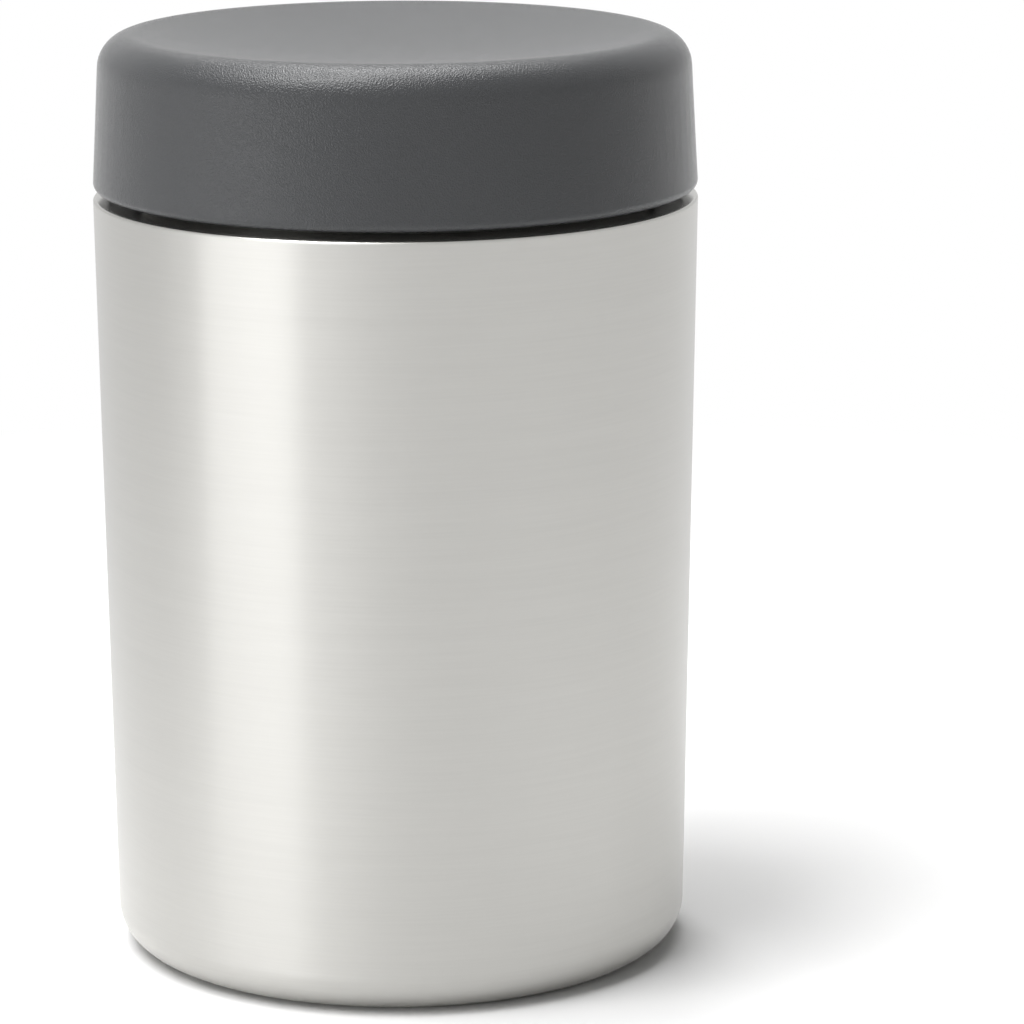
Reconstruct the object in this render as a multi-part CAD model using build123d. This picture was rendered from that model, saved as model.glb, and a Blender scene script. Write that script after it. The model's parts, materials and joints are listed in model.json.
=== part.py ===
from build123d import *

import math
import os

# An insulated food jar: a double-walled steel body and a plastic lid that screws onto its neck.
# Sizes are in millimetres. The jar stands on z = 0 and its axis is the Z axis.

# Steel outer shell
shell_sheet = 0.6
body_radius = 46.0                  # where the wall's line meets the flat shoulder
wall_lean = 1.9                     # how much narrower the wall's line is at the ground
shoulder_height = 117.0
shoulder_rounding = 0.9
base_rounding = 6.2
foot_width = 1.9

# Neck and its thread
neck_length = 13.0
neck_foot_rounding = 1.8
lip_thickness = 0.6
lip_rounding = 0.3
thread_lead = 8.0
thread_starts = 2
thread_clearance = 0.4
ridge_depth = 1.4
ridge_root_width = 2.4
ridge_crest_width = 1.0
ridge_bite = 0.3                    # how far a ridge reaches into the wall that carries it
ridge_rise = 3.2                    # from the shoulder to the middle of a ridge's lower end
neck_ridge_drop = 2.8               # from the neck's top to the middle of a ridge's upper end
lid_ridge_shortening = 0.2          # turns by which a lid ridge is shorter than a neck ridge

# Steel liner
liner_sheet = 0.5
vacuum_gap = 4.5                    # between the liner and the shell
neck_gap = 1.1                      # the same, in the neck
liner_neck_drop = 11.6              # from the lip to where the liner starts to widen
liner_flare_drop = 17.0             # from the lip to where it is wide
liner_neck_rounding = 3.0
liner_flare_rounding = 5.0
liner_floor_rounding = 8.0
liner_floor_gap = 3.8               # from the closing plate's dimple up to the liner
liner_cup_height = 14.5             # from the floor to the liner's seam

# Foil round the liner
foil_thickness = 0.15
foil_margin = 4.0                   # from the foil's ends to the liner's seam and flare

# Closing plate of the vacuum space, its port and getter
plate_sheet = 0.6
plate_rise = 3.4                    # from the foot ring's upper face to the plate's upper face
plate_edge_gap = 0.3                # from the flange to the start of the base rounding
plate_wall_inset = 0.6              # from the foot ring's inner edge to the plate's wall
plate_rounding = 0.9
dimple_radius = 5.0
dimple_rise = 1.2
port_radius = 1.0
seal_fit = 0.8                      # between the solder and the dimple's wall
seal_thickness = 0.8
getter_distance = 20.0
getter_tray_radius = 4.5
getter_tray_height = 2.0
getter_tray_wall = 0.4
getter_pellet_fit = 0.3
getter_pellet_height = 1.2

# Cover of the underside
cover_disc_sheet = 0.5
cover_disc_recess = 1.0             # how far its face lies above the ground
cover_disc_fit = 0.3
cover_disc_rounding = 1.0
cover_panel_margin = 8.5
cover_panel_depth = 0.3

# Lid cover
lid_height = 23.6
lid_bottom_gap = 1.2                # between the shoulder and the lid
lid_lean = 1.0                      # how much narrower the side is at the top rounding
lid_corner = 5.2
lid_bottom_rounding = 1.2
lid_wall = 2.2
dish_depth = 2.4
weld_ring_inset = 1.5               # from the threaded wall in to the ring
weld_ring_width = 2.0

# Inner cap of the lid, with the plug and the lid's thread
thread_wall = 2.0
thread_wall_side_gap = 0.8          # from the cover's side, where it is narrowest
thread_wall_gap = 1.8               # from the shoulder
cap_flange_thickness = 1.8
cap_edge_fit = 0.1
cap_edge_thickness = 1.4
cap_shoulder_rounding = 1.0
plug_gap = 1.5                      # between the plug and the liner's neck
plug_depth = 6.0                    # below the lip
plug_wall = 1.8
plug_rounding = 2.4
bead_depth = 0.8
bead_height = 1.0
bead_rounding = 0.3
bead_drop = 0.3                     # from the gasket down to the bead that keeps it on

# Gasket and foam
gasket_thickness = 1.6
gasket_fit = 0.3
gasket_side_gap = 0.8
gasket_rounding = 0.4
foam_fit = 0.2
foam_gap = 0.3                      # between the foam and the cover
foam_rounding = 1.4

# Anything shorter than this is left out of an outline
shortest_line = 0.001

# Heights that follow, from the ground up
plate_height = shell_sheet + plate_rise
plate_underside_height = plate_height - plate_sheet
liner_floor_height = plate_height + dimple_rise + liner_floor_gap + liner_sheet
liner_seam_height = liner_floor_height + liner_cup_height
lip_height = shoulder_height + neck_length
neck_top_height = lip_height - lip_thickness
liner_neck_foot_height = lip_height - liner_neck_drop
liner_flare_height = lip_height - liner_flare_drop
first_ridge_height = shoulder_height + ridge_rise
neck_ridge_turns = (neck_top_height - neck_ridge_drop - first_ridge_height) / thread_lead
lid_ridge_turns = neck_ridge_turns - lid_ridge_shortening
plug_bottom_height = lip_height - plug_depth
plug_floor_height = plug_bottom_height + plug_wall
thread_wall_bottom_height = shoulder_height + thread_wall_gap
cap_flange_height = lip_height + gasket_thickness
cap_top_height = cap_flange_height + cap_flange_thickness
lid_bottom_height = shoulder_height + lid_bottom_gap
lid_top_height = lid_bottom_height + lid_height
lid_corner_height = lid_top_height - lid_corner
dish_bottom_height = lid_top_height - dish_depth

# Radii that follow, from the outside in
shell_foot_radius = body_radius - wall_lean
foot_outer_radius = shell_foot_radius - base_rounding
foot_inner_radius = foot_outer_radius - foot_width
plate_flange_radius = foot_outer_radius - plate_edge_gap
plate_wall_radius = foot_inner_radius - plate_wall_inset
plate_bore_radius = plate_wall_radius - plate_sheet
cover_disc_radius = plate_bore_radius - cover_disc_fit
lid_bottom_radius = body_radius
lid_side_radius = lid_bottom_radius - lid_lean
crest_circle_radius = lid_side_radius - lid_corner
thread_wall_radius = lid_side_radius - lid_wall - thread_wall_side_gap
thread_wall_inner_radius = thread_wall_radius - thread_wall
lid_crest_radius = thread_wall_inner_radius - ridge_depth
neck_crest_radius = thread_wall_inner_radius - thread_clearance
neck_radius = neck_crest_radius - ridge_depth
neck_bore_radius = neck_radius - shell_sheet
liner_neck_radius = neck_bore_radius - neck_gap - liner_sheet
liner_flare_radius = body_radius - shell_sheet - vacuum_gap - liner_sheet
liner_floor_radius = shell_foot_radius - shell_sheet - vacuum_gap - liner_sheet
plug_radius = liner_neck_radius - plug_gap
plug_bore_radius = plug_radius - plug_wall
gasket_outer_radius = thread_wall_inner_radius - gasket_side_gap
weld_ring_radius = thread_wall_inner_radius - weld_ring_inset


def corner_arc(before, spot, after, rounding):
    """The two ends and the middle of the arc that rounds one corner of an outline."""
    to_before = math.atan2(before[1] - spot[1], before[0] - spot[0])
    to_after = math.atan2(after[1] - spot[1], after[0] - spot[0])
    half = abs((to_after - to_before + math.pi) % (2 * math.pi) - math.pi) / 2
    middle = math.atan2(
        math.sin(to_before) + math.sin(to_after),
        math.cos(to_before) + math.cos(to_after),
    )
    reach = rounding / math.tan(half)
    depth = rounding / math.sin(half) - rounding
    return [
        (spot[0] + reach * math.cos(to_before), spot[1] + reach * math.sin(to_before)),
        (spot[0] + depth * math.cos(middle), spot[1] + depth * math.sin(middle)),
        (spot[0] + reach * math.cos(to_after), spot[1] + reach * math.sin(to_after)),
    ]


def on_section(point):
    """A (radius, height) point as a place in the XZ plane."""
    return (point[0], 0, point[1])


def turned(corners):
    """A solid turned about the Z axis from (radius, height, rounding) corners in order."""
    edges = []
    ends = []
    for i, (radius, height, rounding) in enumerate(corners):
        spot = (radius, height)
        after = corners[(i + 1) % len(corners)]
        if rounding > 0:
            start, middle, end = corner_arc(corners[i - 1], spot, after, rounding)
            arc = ThreePointArc(on_section(start), on_section(middle), on_section(end))
            edges.append(arc)
            ends.append((start, end))
        else:
            ends.append((spot, spot))
    for i, (_, end) in enumerate(ends):
        start = ends[(i + 1) % len(ends)][0]
        # Two roundings that share one short side leave no straight line between them.
        if math.dist(end, start) > shortest_line:
            edges.append(Line(on_section(end), on_section(start)))
    return revolve(make_face(edges), Axis.Z)


def inset(corners, sheet):
    """The same outline, drawn counter-clockwise from the axis, moved inward by the sheet."""
    moved = []
    for i, (radius, height, rounding) in enumerate(corners):
        before = corners[i - 1]
        after = corners[(i + 1) % len(corners)]
        first = (radius - before[0], height - before[1])
        second = (after[0] - radius, after[1] - height)
        first_shift = 0 if before[0] == radius == 0 else sheet * math.hypot(*first)
        second_shift = 0 if after[0] == radius == 0 else sheet * math.hypot(*second)
        turn = first[0] * second[1] - first[1] * second[0]
        new_radius = radius + (first_shift * second[0] - second_shift * first[0]) / turn
        new_height = height + (first_shift * second[1] - second_shift * first[1]) / turn
        if rounding > 0:
            rounding = max(rounding - sheet * math.copysign(1, turn), 0)
        moved.append((new_radius, new_height, rounding))
    return moved


def disc(radius, bottom, top):
    """A plain disc on the axis between two heights."""
    return Pos(0, 0, bottom) * Cylinder(radius, top - bottom, align=(Align.CENTER, Align.CENTER, Align.MIN))


def section_plane(path, end):
    """The plane across a helix at one end, with X pointing away from the jar's axis."""
    place = path @ end
    return Plane(origin=place, x_dir=Vector(place.X, place.Y, 0), z_dir=path % end)


def ridge(root_radius, crest_radius, start_height, turns):
    """One thread ridge on a wall: a trapezium led up a helix, with a round nose at each end."""
    outward = math.copysign(1, crest_radius - root_radius)
    slope = (ridge_root_width - ridge_crest_width) / 2 / ridge_depth
    foot_place = -outward * ridge_bite
    foot_half_width = ridge_root_width / 2 + slope * ridge_bite
    crest_place = crest_radius - root_radius
    crest_half_width = ridge_crest_width / 2
    path = Helix(pitch=thread_lead, height=thread_lead * turns, radius=root_radius)
    section = Polyline(
        (foot_place, -foot_half_width),
        (crest_place, -crest_half_width),
        (crest_place, crest_half_width),
        (foot_place, foot_half_width),
        close=True,
    )
    body = sweep(section_plane(path, 0) * make_face(section), path=path, is_frenet=True)
    # The lower nose is half of the section turned backward, the upper one half turned forward.
    for end, side in ((0, -1), (1, 1)):
        half_section = Polyline(
            (foot_place, 0),
            (crest_place, 0),
            (crest_place, side * crest_half_width),
            (foot_place, side * foot_half_width),
            close=True,
        )
        plane = section_plane(path, end)
        spin_axis = Axis(plane.origin, plane.x_dir)
        body += revolve(plane * make_face(half_section), spin_axis, revolution_arc=180)
    return Pos(0, 0, start_height) * body


def ridges(root_radius, crest_radius, turns, first_angle):
    """All the thread's ridges on one wall, spaced evenly round the axis."""
    one = ridge(root_radius, crest_radius, first_ridge_height, turns)
    return [Rot(0, 0, first_angle + 360 / thread_starts * i) * one for i in range(thread_starts)]


def shell_form(sheet):
    """The outer shell's outside as a solid, or the space inside it when a sheet is given."""
    outline = [
        (0, 0, 0),
        (shell_foot_radius, 0, base_rounding),
        (body_radius, shoulder_height, shoulder_rounding),
        (neck_radius, shoulder_height, neck_foot_rounding),
        (neck_radius, neck_top_height, 0),
        (0, neck_top_height, 0),
    ]
    return turned(inset(outline, sheet) if sheet else outline)


def make_outer_shell():
    """Sheet shell, open at the neck and at the foot ring, with the thread rolled into its neck."""
    shell = shell_form(0) - shell_form(shell_sheet)
    shell -= disc(neck_bore_radius, shoulder_height, lip_height)
    shell -= disc(foot_inner_radius, -shell_sheet, 2 * shell_sheet)
    for one in ridges(neck_radius, neck_crest_radius, neck_ridge_turns, 0):
        shell += one
    return shell


def liner_outline(offset):
    """The liner's inside surface as an outline, moved outward by an offset."""
    outline = [
        (0, liner_floor_height, 0),
        (liner_floor_radius, liner_floor_height, liner_floor_rounding),
        (liner_flare_radius, liner_flare_height, liner_flare_rounding),
        (liner_neck_radius, liner_neck_foot_height, liner_neck_rounding),
        (liner_neck_radius, lip_height, 0),
        (0, lip_height, 0),
    ]
    return inset(outline, -offset) if offset else outline


def make_liner():
    """The liner's drawn wall and floor in one, before it is parted at its seam."""
    wall = turned(liner_outline(liner_sheet)) - turned(liner_outline(0))
    return wall & disc(body_radius, 0, neck_top_height)


def make_liner_tube():
    """The liner above its seam, with the lip that covers the edge of the outer neck."""
    tube = make_liner() & disc(body_radius, liner_seam_height, lip_height)
    lip = turned(
        [
            (liner_neck_radius, neck_top_height, 0),
            (neck_radius, neck_top_height, 0),
            (neck_radius, lip_height, lip_rounding),
            (liner_neck_radius, lip_height, lip_rounding),
        ]
    )
    return tube + lip


def make_liner_bottom():
    """The liner below its seam: a cup with a flat floor."""
    return make_liner() & disc(body_radius, 0, liner_seam_height)


def make_radiation_shield():
    """Foil wrapped tight round the straight part of the liner."""
    wrap = turned(liner_outline(liner_sheet + foil_thickness)) - turned(liner_outline(liner_sheet))
    bottom = liner_seam_height + foil_margin
    top = liner_flare_height - foil_margin
    return wrap & disc(body_radius, bottom, top)


def make_vacuum_base():
    """Plate that closes the vacuum space, with a rim on the foot ring and a dimple for the port."""
    plate = turned(
        [
            (0, shell_sheet, 0),
            (plate_flange_radius, shell_sheet, 0),
            (plate_flange_radius, shell_sheet + plate_sheet, 0),
            (plate_wall_radius, shell_sheet + plate_sheet, plate_sheet),
            (plate_wall_radius, plate_height, plate_rounding),
            (dimple_radius, plate_height, plate_sheet),
            (dimple_radius, plate_height + dimple_rise, plate_sheet),
            (0, plate_height + dimple_rise, 0),
        ]
    )
    hollow = turned(
        [
            (0, 0, 0),
            (plate_bore_radius, 0, 0),
            (plate_bore_radius, plate_underside_height, plate_rounding - plate_sheet),
            (dimple_radius - plate_sheet, plate_underside_height, 0),
            (dimple_radius - plate_sheet, plate_underside_height + dimple_rise, 0),
            (0, plate_underside_height + dimple_rise, 0),
        ]
    )
    return plate - hollow - disc(port_radius, plate_height, plate_height + 2 * dimple_rise)


def make_port_seal():
    """Solder disc melted over the port from below."""
    ceiling = plate_underside_height + dimple_rise
    return disc(dimple_radius - plate_sheet - seal_fit, ceiling - seal_thickness, ceiling)


def make_getter_holder():
    """Small round tray on the closing plate, inside the vacuum space."""
    tray = disc(getter_tray_radius, plate_height, plate_height + getter_tray_height)
    floor = plate_height + getter_tray_wall
    tray -= disc(getter_tray_radius - getter_tray_wall, floor, floor + getter_tray_height)
    return Pos(getter_distance, 0, 0) * tray


def make_getter_pellet():
    """Pressed pellet lying in the tray."""
    floor = plate_height + getter_tray_wall
    radius = getter_tray_radius - getter_tray_wall - getter_pellet_fit
    return Pos(getter_distance, 0, 0) * disc(radius, floor, floor + getter_pellet_height)


def make_outer_base():
    """Thin cup upside down in the recess, hiding the port, with a slightly raised panel."""
    face = cover_disc_recess
    panel_radius = cover_disc_radius - cover_panel_margin
    outline = [
        (0, face + cover_panel_depth, 0),
        (panel_radius - cover_panel_depth, face + cover_panel_depth, cover_disc_sheet),
        (panel_radius, face, cover_disc_sheet),
        (cover_disc_radius, face, cover_disc_rounding),
        (cover_disc_radius, plate_underside_height, 0),
        (0, plate_underside_height, 0),
    ]
    cavity = inset(outline, cover_disc_sheet)
    inner_radius = cover_disc_radius - cover_disc_sheet
    open_top = disc(inner_radius, plate_underside_height - cover_disc_sheet * 2, plate_height)
    return turned(outline) - turned(cavity) - open_top


def lid_form(offset):
    """The lid's outside as a solid, or the same form shrunk by an offset on the side and top."""
    corner = lid_corner - offset
    centre = (crest_circle_radius, lid_corner_height)
    # The dish is part of a sphere that meets the rim's rounding without a crease.
    reach = lid_corner - dish_depth
    dish_radius = (crest_circle_radius**2 + reach**2 - lid_corner**2) / (2 * dish_depth)
    dish_centre_height = dish_bottom_height + dish_radius
    meeting = math.atan2(dish_centre_height - centre[1], -centre[0])
    side_turn = math.atan2(lid_bottom_radius - lid_side_radius, lid_corner_height - lid_bottom_height)

    def on_corner(angle):
        return (centre[0] + corner * math.cos(angle), centre[1] + corner * math.sin(angle))

    def on_dish(share):
        angle = share * math.atan2(centre[0], dish_centre_height - centre[1])
        reach_here = dish_radius + offset
        return (reach_here * math.sin(angle), dish_centre_height - reach_here * math.cos(angle))

    side_top = on_corner(side_turn)
    bottom_height = lid_bottom_height - offset
    slope = math.tan(side_turn)
    side_bottom = (side_top[0] + (side_top[1] - bottom_height) * slope, bottom_height)
    rounding = 0 if offset else lid_bottom_rounding
    edges = []
    if rounding:
        start, middle, end = corner_arc((0, bottom_height), side_bottom, side_top, rounding)
        edges.append(ThreePointArc(on_section(start), on_section(middle), on_section(end)))
    else:
        start = side_bottom
        end = side_bottom
    crest = on_corner(meeting)
    halfway = on_corner((side_turn + meeting) / 2)
    axis_top = on_dish(0)
    edges += [
        Line(on_section((0, bottom_height)), on_section(start)),
        Line(on_section(end), on_section(side_top)),
        ThreePointArc(on_section(side_top), on_section(halfway), on_section(crest)),
        ThreePointArc(on_section(crest), on_section(on_dish(1 / 2)), on_section(axis_top)),
        Line(on_section(axis_top), on_section((0, bottom_height))),
    ]
    return revolve(make_face(edges), Axis.Z)


def make_lid_cover():
    """The visible cap, with a ring under its top that is welded to the inner cap."""
    cover = lid_form(0) - lid_form(lid_wall)
    ring = disc(weld_ring_radius, cap_top_height, lid_top_height)
    ring -= disc(weld_ring_radius - weld_ring_width, cap_top_height, lid_top_height)
    return cover + (ring & lid_form(lid_wall / 2))


def lid_bore_radius(height):
    """The inside radius of the cover's side at a height."""
    lean = (lid_bottom_radius - lid_side_radius) / (lid_corner_height - lid_bottom_height)
    outside = lid_bottom_radius - lean * (height - lid_bottom_height)
    return outside - lid_wall * math.hypot(1, lean)


def make_inner_cap():
    """Plug, flange and threaded wall in one moulding, with an edge that closes the cover below."""
    edge_top = thread_wall_bottom_height + cap_edge_thickness
    edge_radius = lid_bore_radius(edge_top) - cap_edge_fit
    bead_top = lip_height - bead_drop
    cap = turned(
        [
            (0, plug_bottom_height, 0),
            (plug_radius, plug_bottom_height, plug_rounding),
            (plug_radius, bead_top - bead_height, 0),
            (plug_radius + bead_depth, bead_top - bead_height / 2, bead_rounding),
            (plug_radius, bead_top, 0),
            (plug_radius, cap_flange_height, 0),
            (thread_wall_inner_radius, cap_flange_height, 0),
            (thread_wall_inner_radius, thread_wall_bottom_height, 0),
            (edge_radius, thread_wall_bottom_height, 0),
            (edge_radius, edge_top, 0),
            (thread_wall_radius, edge_top, 0),
            (thread_wall_radius, cap_top_height, cap_shoulder_rounding),
            (plug_bore_radius, cap_top_height, 0),
            (plug_bore_radius, plug_floor_height, plug_rounding - plug_wall),
            (0, plug_floor_height, 0),
        ]
    )
    # A quarter turn behind the neck's ridges puts these midway between them.
    quarter_turn = 360 / thread_starts / 2
    for one in ridges(thread_wall_inner_radius, lid_crest_radius, lid_ridge_turns, quarter_turn):
        cap += one
    return cap


def make_gasket():
    """Silicone ring between the lip and the inner cap's flange."""
    inner_radius = plug_radius + gasket_fit
    return turned(
        [
            (inner_radius, lip_height, gasket_rounding),
            (gasket_outer_radius, lip_height, gasket_rounding),
            (gasket_outer_radius, cap_flange_height, gasket_rounding),
            (inner_radius, cap_flange_height, gasket_rounding),
        ]
    )


def make_foam():
    """Foam disc that fills the plug up to the cover."""
    radius = plug_bore_radius - foam_fit
    top = dish_bottom_height - lid_wall - foam_gap
    return turned(
        [
            (0, plug_floor_height, 0),
            (radius, plug_floor_height, foam_rounding),
            (radius, top, foam_rounding),
            (0, top, 0),
        ]
    )


os.makedirs("parts", exist_ok=True)
pieces = {
    "outer_shell": make_outer_shell(),
    "liner_tube": make_liner_tube(),
    "liner_bottom": make_liner_bottom(),
    "radiation_shield": make_radiation_shield(),
    "vacuum_base": make_vacuum_base(),
    "port_seal": make_port_seal(),
    "getter_holder": make_getter_holder(),
    "getter_pellet": make_getter_pellet(),
    "outer_base": make_outer_base(),
    "lid_cover": make_lid_cover(),
    "lid_inner_cap": make_inner_cap(),
    "lid_gasket": make_gasket(),
    "lid_foam": make_foam(),
}
for name, piece in pieces.items():
    export_step(piece, f"parts/{name}.step")
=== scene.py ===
import json
import math

import bmesh
import bpy
from mathutils import Matrix, Vector, noise


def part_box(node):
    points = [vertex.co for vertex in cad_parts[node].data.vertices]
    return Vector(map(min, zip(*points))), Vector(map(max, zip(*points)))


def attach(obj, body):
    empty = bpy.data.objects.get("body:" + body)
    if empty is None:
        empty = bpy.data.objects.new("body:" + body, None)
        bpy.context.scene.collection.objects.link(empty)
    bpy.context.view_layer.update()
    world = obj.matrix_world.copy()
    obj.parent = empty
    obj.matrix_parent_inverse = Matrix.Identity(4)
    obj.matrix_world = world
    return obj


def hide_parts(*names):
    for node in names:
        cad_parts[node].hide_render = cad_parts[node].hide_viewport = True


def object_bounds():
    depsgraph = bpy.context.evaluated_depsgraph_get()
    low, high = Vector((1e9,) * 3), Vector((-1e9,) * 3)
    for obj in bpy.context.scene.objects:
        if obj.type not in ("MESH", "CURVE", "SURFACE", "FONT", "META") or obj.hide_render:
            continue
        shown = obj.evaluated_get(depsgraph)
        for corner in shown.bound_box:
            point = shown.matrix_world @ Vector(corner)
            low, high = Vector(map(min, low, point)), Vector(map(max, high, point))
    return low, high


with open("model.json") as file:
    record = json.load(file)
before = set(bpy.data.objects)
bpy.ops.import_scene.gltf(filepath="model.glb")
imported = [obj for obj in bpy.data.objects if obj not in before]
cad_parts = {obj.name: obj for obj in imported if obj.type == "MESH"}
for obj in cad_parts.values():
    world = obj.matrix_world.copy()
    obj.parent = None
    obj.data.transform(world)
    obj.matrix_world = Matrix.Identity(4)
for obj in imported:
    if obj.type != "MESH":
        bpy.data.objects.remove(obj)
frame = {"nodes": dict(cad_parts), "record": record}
cad_low, cad_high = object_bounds()

# The jar, in metres
JAR_HEIGHT = cad_high.z
MIDDLE = Vector((0, 0, JAR_HEIGHT / 2))

# The outer shell's sheet, in metres
SHEET = 0.0006
SHOULDER_RADIUS = 0.04599           # where the wall's line meets the flat shoulder
SHOULDER_HEIGHT = 0.117
SHOULDER_ROUNDING = 0.0005
FOOT_RADIUS = 0.0441                # where the wall's line meets the ground
BASE_ROUNDING = 0.0062
FOOT_HOLE_RADIUS = 0.036
NECK_RADIUS = 0.0382
NECK_TOP_HEIGHT = 0.1294
NECK_FOOT_ROUNDING = 0.0018
SHELL_SEGMENTS = 360
ARC_STEP = math.radians(6)
SAME_PLACE = 1e-7                   # points closer than this share their ring
SHOULDER_GLOSS = 0.22               # roughness of the flat shoulder, which isn't brushed
SHOULDER_SKIN = 0.00012             # how far above and below the flat that finish reaches

# The thread ridges on the neck, in metres
RIDGE_FIRST_HEIGHT = 0.1202         # middle of a ridge's lower end
RIDGE_LEAD = 0.008
RIDGE_SLOPE = math.atan2(RIDGE_LEAD, 2 * math.pi * NECK_RADIUS)
RIDGE_TURNS = 0.8
RIDGE_STARTS = 2
RIDGE_DEPTH = 0.0014
RIDGE_BITE = 0.0003                 # how far a ridge reaches into the neck's sheet
RIDGE_FOOT_HALF_WIDTH = 0.00135
RIDGE_CREST_HALF_WIDTH = 0.0005
RIDGE_STEPS = 240
RIDGE_FADE_TURNS = 0.045            # how far from each end a ridge has its full depth
RIDGE_NOSE_STEPS = 10
RIDGE_SHARP_ANGLE = math.radians(35)

# The foam disc's surface, in metres
FOAM_RINGS = 24
FOAM_SIDE_RINGS = 16
FOAM_SEGMENTS = 96
FOAM_EDGE = 0.0014                  # how far the side curves in at the faces
FOAM_SQUARENESS = 0.5               # 1 would make the side's curve an ellipse
FOAM_SHY = 0.0001                   # how far the disc stays inside its CAD solid
FOAM_DIP = 0.00025
FOAM_DIPS_PER_METRE = 160

# Shared by the materials
CELL_SMOOTHNESS = 0.6
QUARTER_TURN = 0.25                 # in the turns that a shader's anisotropic rotation counts

# The floor, the room and the lamps
FLOOR_RADIUS = 6.0
FLOOR_SEGMENTS = 96
FLOOR_WHITE = 0.95
FLOOR_FADE_START = 0.16             # from here on the floor turns plain white, in metres
FLOOR_FADE_END = 0.40
ROOM_LIGHT = 0.1                    # the room's strength as light, where 1 is how it looks
LAMP_DISTANCE = 2.0
LAMP_POWER = math.pi                # watts for a square metre of lamp with a radiance of 1

# The camera, fitted to the photograph: pixels, metres and radians, and the sensor in millimetres
IMAGE_PIXELS = 1024
SENSOR = 36.0
FOCAL_PIXELS = 4754.81
CAMERA_X = 0.01754
CAMERA_DISTANCE = 0.71743
CAMERA_HEIGHT = 0.22774
CAMERA_PITCH = 0.2202
CAMERA_ROLL = -0.0028


# ---------------------------------------------------------------- node helpers


def new_material(name, roughness, metallic=0.0, specular=0.5):
    """A material with a Principled shader, and that shader."""
    material = bpy.data.materials.new(name)
    material.use_nodes = True
    shader = material.node_tree.nodes["Principled BSDF"]
    shader.inputs["Roughness"].default_value = roughness
    shader.inputs["Metallic"].default_value = metallic
    shader.inputs["Specular IOR Level"].default_value = specular
    return material, shader


def add(tree, kind, settings=None, values=None, links=None):
    """A new node, with its settings, its sockets' values and what is linked into it."""
    node = tree.nodes.new(kind)
    for name, setting in (settings or {}).items():
        setattr(node, name, setting)
    for name, value in (values or {}).items():
        node.inputs[name].default_value = value
    for name, source in (links or {}).items():
        tree.links.new(source, node.inputs[name])
    return node


def math_node(tree, operation, values=None, links=None):
    """The result of a Math node whose sockets are numbered from 0."""
    return add(tree, "ShaderNodeMath", {"operation": operation}, values, links).outputs["Value"]


def vector_node(tree, operation, values=None, links=None):
    """A Vector Math node."""
    return add(tree, "ShaderNodeVectorMath", {"operation": operation}, values, links)


def object_place(tree):
    """The point on the object's surface, in its own metres."""
    return add(tree, "ShaderNodeTexCoord").outputs["Object"]


def stretched(tree, place, across, along):
    """The place, scaled so that a texture cell is 1/across wide in x and y and 1/along high in z."""
    scale = (across, across, along)
    return add(tree, "ShaderNodeMapping", values={"Scale": scale}, links={"Vector": place}).outputs["Vector"]


def ring_place(tree, place, rings, round_about):
    """A place whose first coordinate grows with the distance from the axis, for lathe-turned marks."""
    flat = vector_node(tree, "MULTIPLY", {1: (1, 1, 0)}, {0: place}).outputs["Vector"]
    radius = vector_node(tree, "LENGTH", links={0: flat}).outputs["Value"]
    spread_out = math_node(tree, "MULTIPLY", {1: rings}, {0: radius})
    across = add(tree, "ShaderNodeCombineXYZ", links={"X": spread_out}).outputs["Vector"]
    drift = vector_node(tree, "SCALE", {"Scale": round_about}, {0: place}).outputs["Vector"]
    return vector_node(tree, "ADD", links={0: across, 1: drift}).outputs["Vector"]


def cloud(tree, place, scale=1.0, detail=2.0):
    """Smooth noise between 0 and 1, about the middle."""
    made = add(
        tree,
        "ShaderNodeTexNoise",
        values={"Scale": scale, "Detail": detail},
        links={"Vector": place},
    )
    return made.outputs["Fac"]


def cells(tree, place, scale):
    """Soft cells: 0 in each cell's middle, more towards its edge."""
    made = add(
        tree,
        "ShaderNodeTexVoronoi",
        {"feature": "SMOOTH_F1"},
        {"Scale": scale, "Smoothness": CELL_SMOOTHNESS},
        {"Vector": place},
    )
    return made.outputs["Distance"]


def between(tree, value, low, high, start=0.3, end=0.7):
    """The value's range from start to end, laid out between low and high."""
    made = add(
        tree,
        "ShaderNodeMapRange",
        values={"From Min": start, "From Max": end, "To Min": low, "To Max": high},
        links={"Value": value},
    )
    return made.outputs["Result"]


def sum_of(tree, first, second, share):
    """The first value, with a share of the second added."""
    return math_node(tree, "MULTIPLY_ADD", {1: share}, {0: second, 2: first})


def tone(tree, value, dark, light, start=0.3, end=0.7):
    """A colour between dark and light by the value."""
    share = between(tree, value, 0, 1, start, end)
    mix = add(tree, "ShaderNodeMix", {"data_type": "RGBA"}, links={"Factor": share})
    first, second = [socket for socket in mix.inputs if socket.type == "RGBA"]
    first.default_value = (*dark, 1)
    second.default_value = (*light, 1)
    return [socket for socket in mix.outputs if socket.type == "RGBA"][0]


def relief(tree, height, depth, strength):
    """A normal from a height between 0 and 1 that is depth metres deep."""
    values = {"Distance": depth, "Strength": strength}
    return add(tree, "ShaderNodeBump", values=values, links={"Height": height}).outputs["Normal"]


def around_the_axis(tree, shader, amount):
    """Brushing that runs round the Z axis: the gloss spreads across it."""
    tangent = add(tree, "ShaderNodeTangent", {"direction_type": "RADIAL", "axis": "Z"})
    shader.inputs["Anisotropic"].default_value = amount
    shader.inputs["Anisotropic Rotation"].default_value = QUARTER_TURN
    tree.links.new(tangent.outputs["Tangent"], shader.inputs["Tangent"])


def finish_with(tree, shader, colour, roughness, normal):
    """Links a colour, a roughness and a normal into the shader."""
    tree.links.new(colour, shader.inputs["Base Color"])
    tree.links.new(roughness, shader.inputs["Roughness"])
    tree.links.new(normal, shader.inputs["Normal"])


# ---------------------------------------------------------------- materials


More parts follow.
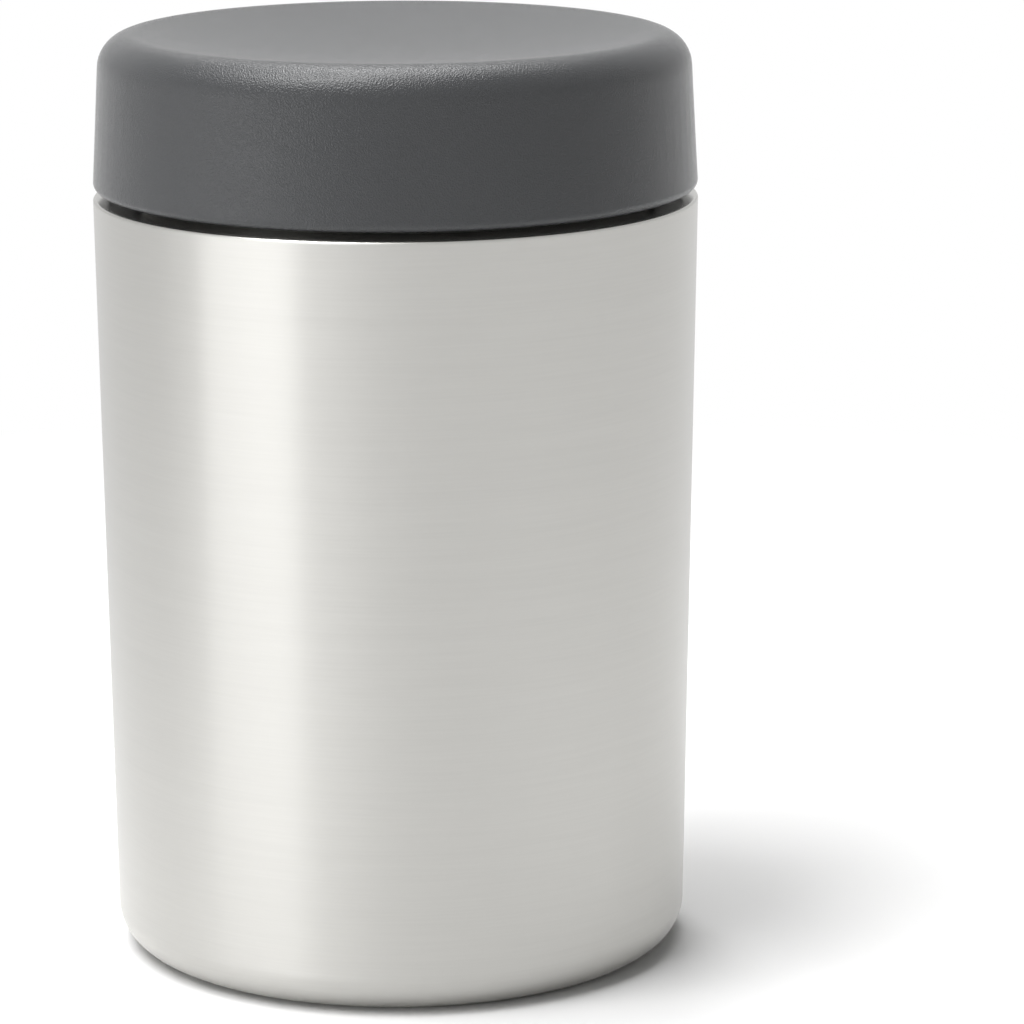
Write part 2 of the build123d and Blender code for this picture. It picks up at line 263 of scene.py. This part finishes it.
def shell_steel():
    """Stainless steel, brushed in fine lines round the body and smooth on the flat shoulder."""
    material, shader = new_material("shell_steel_brushed", roughness=0.385, metallic=1.0)
    tree = material.node_tree
    place = object_place(tree)
    height = add(tree, "ShaderNodeSeparateXYZ", links={"Vector": place}).outputs["Z"]
    hairlines = cloud(tree, stretched(tree, place, across=70, along=3200))
    bands = cloud(tree, stretched(tree, place, across=16, along=520), detail=3.0)
    streaks = sum_of(tree, hairlines, bands, share=0.7)
    streaks_start = 0.55
    streaks_end = 1.15
    brushed = between(tree, streaks, low=0.377, high=0.393, start=streaks_start, end=streaks_end)
    flat = math_node(tree, "COMPARE", {1: SHOULDER_HEIGHT, 2: SHOULDER_SKIN}, {0: height})
    gloss = add(
        tree,
        "ShaderNodeMix",
        {"data_type": "FLOAT"},
        {"B": SHOULDER_GLOSS},
        {"Factor": flat, "A": brushed},
    )
    finish_with(
        tree,
        shader,
        colour=tone(
            tree,
            streaks,
            dark=(0.528, 0.522, 0.501),
            light=(0.551, 0.545, 0.523),
            start=streaks_start,
            end=streaks_end,
        ),
        roughness=gloss.outputs["Result"],
        normal=relief(tree, hairlines, depth=0.000004, strength=0.5),
    )
    around_the_axis(tree, shader, 0.87)
    return material


def liner_steel():
    """The satin inside of the jar: electropolished, with faint turning lines."""
    material, shader = new_material("liner_steel_satin", roughness=0.27, metallic=1.0)
    tree = material.node_tree
    place = object_place(tree)
    lines = cloud(tree, stretched(tree, place, across=22, along=1500))
    patches = cloud(tree, place, scale=60, detail=3.0)
    finish_with(
        tree,
        shader,
        colour=tone(tree, patches, dark=(0.55, 0.545, 0.535), light=(0.61, 0.605, 0.595)),
        roughness=between(tree, lines, low=0.22, high=0.33),
        normal=relief(tree, lines, depth=0.000012, strength=0.4),
    )
    around_the_axis(tree, shader, 0.5)
    return material


def base_steel():
    """Pressed steel of the underside, with turned rings."""
    material, shader = new_material("base_steel_turned", roughness=0.33, metallic=1.0)
    tree = material.node_tree
    place = object_place(tree)
    rings = cloud(tree, ring_place(tree, place, rings=2600, round_about=40))
    patches = cloud(tree, place, scale=90)
    finish_with(
        tree,
        shader,
        colour=tone(tree, patches, dark=(0.51, 0.50, 0.485), light=(0.58, 0.57, 0.555)),
        roughness=between(tree, rings, low=0.28, high=0.40),
        normal=relief(tree, rings, depth=0.000014, strength=0.5),
    )
    around_the_axis(tree, shader, 0.6)
    return material


def tray_steel():
    """Thin stamped steel with drawing marks."""
    material, shader = new_material("tray_steel_stamped", roughness=0.4, metallic=1.0)
    tree = material.node_tree
    marks = cloud(tree, stretched(tree, object_place(tree), across=500, along=160), detail=3.0)
    finish_with(
        tree,
        shader,
        colour=tone(tree, marks, dark=(0.42, 0.42, 0.42), light=(0.55, 0.55, 0.55)),
        roughness=between(tree, marks, low=0.32, high=0.5),
        normal=relief(tree, marks, depth=0.00002, strength=0.4),
    )
    return material


def foil():
    """Aluminium foil, creased from being wrapped."""
    material, shader = new_material("foil_creased", roughness=0.2, metallic=1.0)
    tree = material.node_tree
    place = object_place(tree)
    creases = cells(tree, place, scale=140)
    rolling = cloud(tree, stretched(tree, place, across=30, along=900))
    finish_with(
        tree,
        shader,
        colour=tone(tree, rolling, dark=(0.74, 0.74, 0.75), light=(0.84, 0.84, 0.85)),
        roughness=between(tree, rolling, low=0.15, high=0.28),
        normal=relief(tree, sum_of(tree, creases, rolling, share=0.3), depth=0.0003, strength=0.5),
    )
    return material


def solder():
    """A melted and set disc of solder: dull and lumpy."""
    material, shader = new_material("solder_set", roughness=0.5, metallic=1.0)
    tree = material.node_tree
    lumps = cloud(tree, object_place(tree), scale=900, detail=3.0)
    finish_with(
        tree,
        shader,
        colour=tone(tree, lumps, dark=(0.34, 0.34, 0.35), light=(0.50, 0.50, 0.51)),
        roughness=between(tree, lumps, low=0.38, high=0.6),
        normal=relief(tree, lumps, depth=0.0002, strength=0.5),
    )
    return material


def getter():
    """Pressed and sintered powder: dark, grainy and matte."""
    material, shader = new_material("getter_sintered", roughness=0.8, metallic=0.4)
    tree = material.node_tree
    place = object_place(tree)
    grains = cells(tree, place, scale=5200)
    speckle = cloud(tree, place, scale=2600)
    finish_with(
        tree,
        shader,
        colour=tone(tree, speckle, dark=(0.11, 0.11, 0.12), light=(0.21, 0.21, 0.22)),
        roughness=between(tree, speckle, low=0.7, high=0.9),
        normal=relief(tree, grains, depth=0.00006, strength=0.6),
    )
    return material


def cover_plastic():
    """Charcoal plastic with a fine spark-eroded grain."""
    material, shader = new_material("cover_plastic_grained", roughness=0.21, specular=0.39)
    tree = material.node_tree
    place = object_place(tree)
    pebbles = cells(tree, place, scale=4200)
    fine = cloud(tree, place, scale=6500, detail=1.0)
    grain = sum_of(tree, pebbles, fine, share=0.6)
    batch = cloud(tree, place, scale=55)
    finish_with(
        tree,
        shader,
        colour=tone(tree, grain, dark=(0.052, 0.054, 0.057), light=(0.056, 0.058, 0.061), start=0.4, end=1.0),
        roughness=between(tree, batch, low=0.20, high=0.22, start=0.2, end=0.8),
        normal=relief(tree, grain, depth=0.00008, strength=0.8),
    )
    return material


def cap_plastic():
    """Smooth satin plastic of the plug and the lid's thread."""
    material, shader = new_material("cap_plastic_satin", roughness=0.38, specular=0.45)
    tree = material.node_tree
    place = object_place(tree)
    flow = cloud(tree, place, scale=70, detail=3.0)
    skin = cloud(tree, place, scale=1600)
    finish_with(
        tree,
        shader,
        colour=tone(tree, flow, dark=(0.047, 0.048, 0.050), light=(0.058, 0.059, 0.061)),
        roughness=between(tree, flow, low=0.33, high=0.43),
        normal=relief(tree, skin, depth=0.00001, strength=0.4),
    )
    return material


def silicone():
    """Soft pale silicone with a faint moulded skin."""
    material, shader = new_material("silicone_pale", roughness=0.5, specular=0.4)
    tree = material.node_tree
    place = object_place(tree)
    depth = cloud(tree, place, scale=120)
    skin = cloud(tree, place, scale=2400)
    finish_with(
        tree,
        shader,
        colour=tone(tree, depth, dark=(0.52, 0.52, 0.51), light=(0.60, 0.60, 0.59)),
        roughness=between(tree, depth, low=0.45, high=0.58),
        normal=relief(tree, skin, depth=0.00002, strength=0.4),
    )
    shader.inputs["Sheen Weight"].default_value = 0.15
    return material


def foam():
    """Cut closed-cell foam: small open cells on the cut faces."""
    material, shader = new_material("foam_cells", roughness=0.9, specular=0.2)
    tree = material.node_tree
    bubbles = cells(tree, object_place(tree), scale=900)
    finish_with(
        tree,
        shader,
        colour=tone(tree, bubbles, dark=(0.70, 0.68, 0.61), light=(0.85, 0.83, 0.77), start=0.1, end=0.6),
        roughness=between(tree, bubbles, low=0.82, high=0.95, start=0.1, end=0.6),
        normal=relief(tree, bubbles, depth=0.0003, strength=0.8),
    )
    return material


# ---------------------------------------------------------------- mesh helpers


def smooth_mesh(name, shape):
    """The mesh of a shape, with smooth faces."""
    for face in shape.faces:
        face.smooth = True
    mesh = bpy.data.meshes.new(name)
    shape.to_mesh(mesh)
    shape.free()
    return mesh


def placed(name, data):
    """A new object in the scene."""
    made = bpy.data.objects.new(name, data)
    bpy.context.scene.collection.objects.link(made)
    return made


def turns_round(segments):
    """The angles of the points of a ring."""
    return [2 * math.pi * step / segments for step in range(segments)]


def ring(shape, radius, height, segments):
    """The points of a ring round the axis."""
    return [
        shape.verts.new((radius * math.cos(turn), radius * math.sin(turn), height))
        for turn in turns_round(segments)
    ]


# ---------------------------------------------------------------- the outer shell


def bends(corners):
    """The direction in which a closed outline comes to each corner, and by how much it turns there."""
    made = []
    for i, (radius, height, _) in enumerate(corners):
        before = corners[i - 1]
        after = corners[(i + 1) % len(corners)]
        arriving = math.atan2(height - before[1], radius - before[0])
        leaving = math.atan2(after[1] - height, after[0] - radius)
        made.append((arriving, (leaving - arriving + math.pi) % (2 * math.pi) - math.pi))
    return made


def stations(corners):
    """Places along a closed counter-clockwise (radius, height, rounding) outline, each with its direction."""
    made = []
    for (radius, height, rounding), (arriving, turn) in zip(corners, bends(corners)):
        if rounding == 0:
            made += [(radius, height, arriving), (radius, height, arriving + turn)]
            continue
        reach = rounding * math.tan(abs(turn) / 2)
        side = math.copysign(rounding, turn)
        start = (radius - reach * math.cos(arriving), height - reach * math.sin(arriving))
        centre = (start[0] - side * math.sin(arriving), start[1] + side * math.cos(arriving))
        steps = math.ceil(abs(turn) / ARC_STEP)
        for step in range(steps + 1):
            way = arriving + turn * step / steps
            made.append((centre[0] + side * math.sin(way), centre[1] - side * math.cos(way), way))
    return made


def inward(corners, sheet):
    """The same outline, moved inward by the sheet, with its roundings kept concentric."""
    moved = []
    for (radius, height, rounding), (arriving, turn) in zip(corners, bends(corners)):
        middle = arriving + turn / 2
        reach = sheet / math.cos(turn / 2)
        tighter = rounding - math.copysign(sheet, turn)
        spot = (radius - reach * math.sin(middle), height + reach * math.cos(middle))
        moved.append((*spot, max(tighter, 0) if rounding else 0))
    return moved


def shell_outline():
    """The sheet's closed outline: the outside from the foot ring up to the neck, then the inside down."""
    outside = [
        (FOOT_HOLE_RADIUS, 0, 0),
        (FOOT_RADIUS, 0, BASE_ROUNDING),
        (SHOULDER_RADIUS, SHOULDER_HEIGHT, SHOULDER_ROUNDING),
        (NECK_RADIUS, SHOULDER_HEIGHT, NECK_FOOT_ROUNDING),
        (NECK_RADIUS, NECK_TOP_HEIGHT, 0),
    ]
    # The three roundings are moved inward as part of a longer outline, which runs on beyond the sheet's ends.
    longer = [(0, 0, 0)] + outside[1:4] + [(NECK_RADIUS, JAR_HEIGHT, 0), (0, JAR_HEIGHT, 0)]
    inside = inward(longer, SHEET)[1:4]
    neck_end = (NECK_RADIUS - SHEET, NECK_TOP_HEIGHT, 0)
    foot_end = (FOOT_HOLE_RADIUS, SHEET, 0)
    return outside + [neck_end] + inside[::-1] + [foot_end]


def facing(turn, way):
    """The direction out of a turned surface, at a turn round the axis, where its outline runs along way."""
    out = math.sin(way)
    return (out * math.cos(turn), out * math.sin(turn), -math.cos(way))


def spun_mesh(name, outline, segments):
    """A closed ring-shaped surface whose shading follows its outline exactly."""
    places = stations(outline)
    turns = turns_round(segments)
    shape = bmesh.new()
    rings = []
    for i, place in enumerate(places):
        if i and math.dist(places[i - 1][:2], place[:2]) < SAME_PLACE:
            rings.append(rings[-1])
        else:
            rings.append(ring(shape, *place[:2], segments))
    shading = []
    for i, (_, _, way) in enumerate(places):
        after = (i + 1) % len(places)
        if rings[i] is rings[after]:
            continue
        next_way = places[after][2]
        for step in range(segments):
            following = (step + 1) % segments
            near = rings[i]
            far = rings[after]
            shape.faces.new((near[step], near[following], far[following], far[step]))
            shading.append(facing(turns[step], way))
            shading.append(facing(turns[following], way))
            shading.append(facing(turns[following], next_way))
            shading.append(facing(turns[step], next_way))
    mesh = smooth_mesh(name, shape)
    mesh.normals_split_custom_set(shading)
    return mesh


def ridge_pair(height, turn, share, along, across):
    """A ridge's foot and crest point at a share of its length, moved along and across by half widths."""
    angle = turn + 2 * math.pi * RIDGE_TURNS * share
    out = Vector((math.cos(angle), math.sin(angle), 0))
    round_about = Vector((-math.sin(angle), math.cos(angle), 0))
    forward = round_about * math.cos(RIDGE_SLOPE) + Vector((0, 0, math.sin(RIDGE_SLOPE)))
    upward = out.cross(forward)
    middle = Vector((0, 0, height + RIDGE_LEAD * RIDGE_TURNS * share))
    from_end = min(min(share, 1 - share) * RIDGE_TURNS / RIDGE_FADE_TURNS, 1)
    depth = (RIDGE_BITE + RIDGE_DEPTH) * math.sin(math.pi / 2 * from_end)
    foot_radius = NECK_RADIUS - RIDGE_BITE
    aside = forward * along + upward * across
    foot = middle + out * foot_radius + aside * RIDGE_FOOT_HALF_WIDTH
    crest = middle + out * (foot_radius + depth) + aside * RIDGE_CREST_HALF_WIDTH
    return foot, crest


def ridge_rim(height, turn):
    """The foot and crest points round one ridge, from its lower end's under side and back to it."""
    shares = [step / RIDGE_STEPS for step in range(RIDGE_STEPS + 1)]
    ways = [math.pi * step / RIDGE_NOSE_STEPS for step in range(1, RIDGE_NOSE_STEPS)]
    rim = [ridge_pair(height, turn, share, 0, -1) for share in shares]
    rim += [ridge_pair(height, turn, 1, math.sin(way), -math.cos(way)) for way in ways]
    rim += [ridge_pair(height, turn, 1 - share, 0, 1) for share in shares]
    rim += [ridge_pair(height, turn, 0, -math.sin(way), math.cos(way)) for way in ways]
    return rim


def add_ridge(shape, height, turn):
    """One thread ridge: sloping flanks all round, and a crest between them."""
    rim = ridge_rim(height, turn)
    feet = [shape.verts.new(foot) for foot, _ in rim]
    crests = [shape.verts.new(crest) for _, crest in rim]
    for i in range(len(rim)):
        after = (i + 1) % len(rim)
        shape.faces.new((feet[i], feet[after], crests[after], crests[i]))
    # The crest: a quad for each step between the rim's two long runs, and one face in each nose.
    upper_start = RIDGE_STEPS + RIDGE_NOSE_STEPS
    for step in range(RIDGE_STEPS):
        upper = upper_start + RIDGE_STEPS - step
        shape.faces.new((crests[step], crests[step + 1], crests[upper - 1], crests[upper]))
    shape.faces.new(crests[RIDGE_STEPS : upper_start + 1])
    shape.faces.new(crests[upper_start + RIDGE_STEPS :] + crests[:1])


def ridges_mesh():
    """All the neck's thread ridges."""
    shape = bmesh.new()
    for start in range(RIDGE_STARTS):
        add_ridge(shape, RIDGE_FIRST_HEIGHT, 2 * math.pi * start / RIDGE_STARTS)
    mesh = smooth_mesh("neck_ridges", shape)
    mesh.set_sharp_from_angle(angle=RIDGE_SHARP_ANGLE)
    return mesh


def make_shell(finish):
    """The outer shell: the drawn wall and neck, and the thread rolled into the neck."""
    for name, mesh in (
        ("shell_wall", spun_mesh("shell_wall", shell_outline(), SHELL_SEGMENTS)),
        ("neck_ridges", ridges_mesh()),
    ):
        piece = placed(name, mesh)
        mesh.materials.append(finish)
        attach(piece, "jar")
        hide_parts("outer_shell")


# ---------------------------------------------------------------- the foam disc


def foam_outline(radius, bottom, top):
    """The disc's outline from the axis below to the axis above: flat faces, and a side that curves out."""
    flat = radius - FOAM_EDGE
    outline = [(flat * step / FOAM_RINGS, bottom) for step in range(FOAM_RINGS)]
    middle = (bottom + top) / 2
    half = (top - bottom) / 2
    for step in range(FOAM_SIDE_RINGS + 1):
        turn = math.pi * (step / FOAM_SIDE_RINGS - 0.5)
        out = radius - FOAM_EDGE * (1 - math.cos(turn) ** FOAM_SQUARENESS)
        up = math.copysign(abs(math.sin(turn)) ** FOAM_SQUARENESS, turn)
        outline.append((out, middle + half * up))
    outline += [(flat * step / FOAM_RINGS, top) for step in reversed(range(FOAM_RINGS))]
    return outline


def turned_mesh(name, outline, segments):
    """A closed round surface from an outline whose first and last points are on the axis."""
    shape = bmesh.new()
    first = shape.verts.new((0, 0, outline[0][1]))
    last = shape.verts.new((0, 0, outline[-1][1]))
    rings = [ring(shape, radius, height, segments) for radius, height in outline[1:-1]]
    for step in range(segments):
        after = (step + 1) % segments
        shape.faces.new((first, rings[0][after], rings[0][step]))
        shape.faces.new((last, rings[-1][step], rings[-1][after]))
        for inner, outer in zip(rings, rings[1:]):
            shape.faces.new((inner[step], inner[after], outer[after], outer[step]))
    return smooth_mesh(name, shape)


def make_foam(finish):
    """The foam disc in the lid: cut foam whose faces and side dip a little here and there."""
    low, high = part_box("lid_foam")
    outline = foam_outline(high.x - FOAM_SHY, low.z, high.z - FOAM_SHY)
    mesh = turned_mesh("foam_disc", outline, FOAM_SEGMENTS)
    for point, normal in [(v, v.normal.copy()) for v in mesh.vertices]:
        dip = 0.5 + 0.5 * noise.noise(point.co * FOAM_DIPS_PER_METRE)
        point.co -= normal * FOAM_DIP * dip
    disc = placed("foam_disc", mesh)
    mesh.materials.append(finish)
    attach(disc, "lid")
    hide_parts("lid_foam")


def dress_nodes(finishes):
    """Each CAD node gets the finish of its slot in the record."""
    for part in frame["record"]["subparts"]:
        node = frame["nodes"][part["node"]]
        for place in node.material_slots:
            place.material = finishes[part["material_slot"]]


# ---------------------------------------------------------------- room, light and camera


def seen_directly(tree):
    """1 for a ray from the camera, off a gloss or through glass, else 0."""
    path = add(tree, "ShaderNodeLightPath").outputs
    first = math_node(tree, "MAXIMUM", links={0: path["Is Camera Ray"], 1: path["Is Glossy Ray"]})
    return math_node(tree, "MAXIMUM", links={0: first, 1: path["Is Transmission Ray"]})


def floor_white():
    """White paint that takes the jar's shadow, and plain white further off."""
    material = bpy.data.materials.new("floor_white")
    material.use_nodes = True
    tree = material.node_tree
    tree.nodes.clear()
    distance = vector_node(tree, "LENGTH", links={0: object_place(tree)}).outputs["Value"]
    far_off = between(tree, distance, low=0, high=1, start=FLOOR_FADE_START, end=FLOOR_FADE_END)
    share = math_node(tree, "MULTIPLY", links={0: far_off, 1: seen_directly(tree)})
    paint = add(tree, "ShaderNodeBsdfDiffuse", values={"Color": (FLOOR_WHITE,) * 3 + (1,)})
    plain = add(tree, "ShaderNodeEmission", values={"Strength": 1.0})
    links = {0: share, 1: paint.outputs["BSDF"], 2: plain.outputs["Emission"]}
    mix = add(tree, "ShaderNodeMixShader", links=links)
    add(tree, "ShaderNodeOutputMaterial", links={"Surface": mix.outputs["Shader"]})
    return material


def make_floor():
    """A white floor that keeps the jar's shadow and is plain white further off."""
    shape = bmesh.new()
    bmesh.ops.create_circle(shape, cap_ends=True, segments=FLOOR_SEGMENTS, radius=FLOOR_RADIUS)
    floor = placed("floor", smooth_mesh("floor", shape))
    floor.data.materials.append(floor_white())


def make_world():
    """A white room: plain white where it is seen or mirrored, and dim as light."""
    world = bpy.data.worlds.new("white_room")
    bpy.context.scene.world = world
    world.use_nodes = True
    tree = world.node_tree
    tree.nodes.clear()
    strength = between(tree, seen_directly(tree), low=ROOM_LIGHT, high=1.0, start=0, end=1)
    glow = add(tree, "ShaderNodeBackground", links={"Strength": strength})
    add(tree, "ShaderNodeOutputWorld", links={"Surface": glow.outputs["Background"]})


def make_softbox(name, azimuth, elevation, width, height, radiance, distance=LAMP_DISTANCE):
    """A rectangular lamp that faces the jar. Azimuth 0 is on the camera's side and grows to the left."""
    lamp = bpy.data.lights.new(name, "AREA")
    lamp.shape = "RECTANGLE"
    lamp.size = width
    lamp.size_y = height
    lamp.energy = radiance * width * height * LAMP_POWER
    sideways = math.radians(azimuth)
    flat = math.cos(math.radians(elevation))
    up = math.sin(math.radians(elevation))
    back = Vector((-math.sin(sideways) * flat, -math.cos(sideways) * flat, up))
    box = placed(name, lamp)
    box.location = MIDDLE + back * distance
    box.rotation_mode = "QUATERNION"
    box.rotation_quaternion = back.to_track_quat("Z", "Y")
    box.visible_camera = False


def make_lamps():
    """Low lamps for the steel's bright left half, and high ones for the lid, the floor and the shadow."""
    make_softbox("low_front", azimuth=48, elevation=6, width=0.99, height=0.42, radiance=0.9)
    make_softbox("low_side", azimuth=77, elevation=6, width=1.07, height=0.42, radiance=0.8)
    make_softbox("strip", azimuth=54, elevation=3, width=0.31, height=0.09, radiance=2.6, distance=0.45)
    make_softbox("high_front", azimuth=51, elevation=54, width=1.17, height=0.63, radiance=6.8)
    make_softbox("top_front", azimuth=32, elevation=73, width=0.68, height=0.78, radiance=4.2)
    make_softbox("top_left", azimuth=82, elevation=73, width=0.68, height=0.78, radiance=11.6)
    make_softbox("top_back_left", azimuth=150, elevation=73, width=0.68, height=0.78, radiance=3.0)
    make_softbox("top_back", azimuth=210, elevation=73, width=0.68, height=0.78, radiance=4.5)
    make_softbox("back", azimuth=172, elevation=57, width=0.58, height=0.49, radiance=10.8)


def make_camera():
    """The camera, above the jar and a little to its right, looking down."""
    data = bpy.data.cameras.new("camera")
    data.sensor_width = SENSOR
    data.lens = FOCAL_PIXELS / IMAGE_PIXELS * SENSOR
    camera = placed("camera", data)
    place = Matrix.Translation((CAMERA_X, -CAMERA_DISTANCE, CAMERA_HEIGHT))
    tilt = Matrix.Rotation(math.radians(90) - CAMERA_PITCH, 4, "X")
    roll = Matrix.Rotation(CAMERA_ROLL, 4, "Z")
    camera.matrix_world = place @ tilt @ roll
    bpy.context.scene.camera = camera


finishes = {
    "shell_steel": shell_steel(),
    "liner_steel": liner_steel(),
    "base_steel": base_steel(),
    "tray_steel": tray_steel(),
    "foil": foil(),
    "solder": solder(),
    "getter": getter(),
    "cover_plastic": cover_plastic(),
    "cap_plastic": cap_plastic(),
    "silicone": silicone(),
    "foam": foam(),
}
dress_nodes(finishes)
make_shell(finishes["shell_steel"])
make_foam(finishes["foam"])

make_floor()
make_world()
make_lamps()
make_camera()
bpy.context.scene.view_settings.view_transform = "Standard"
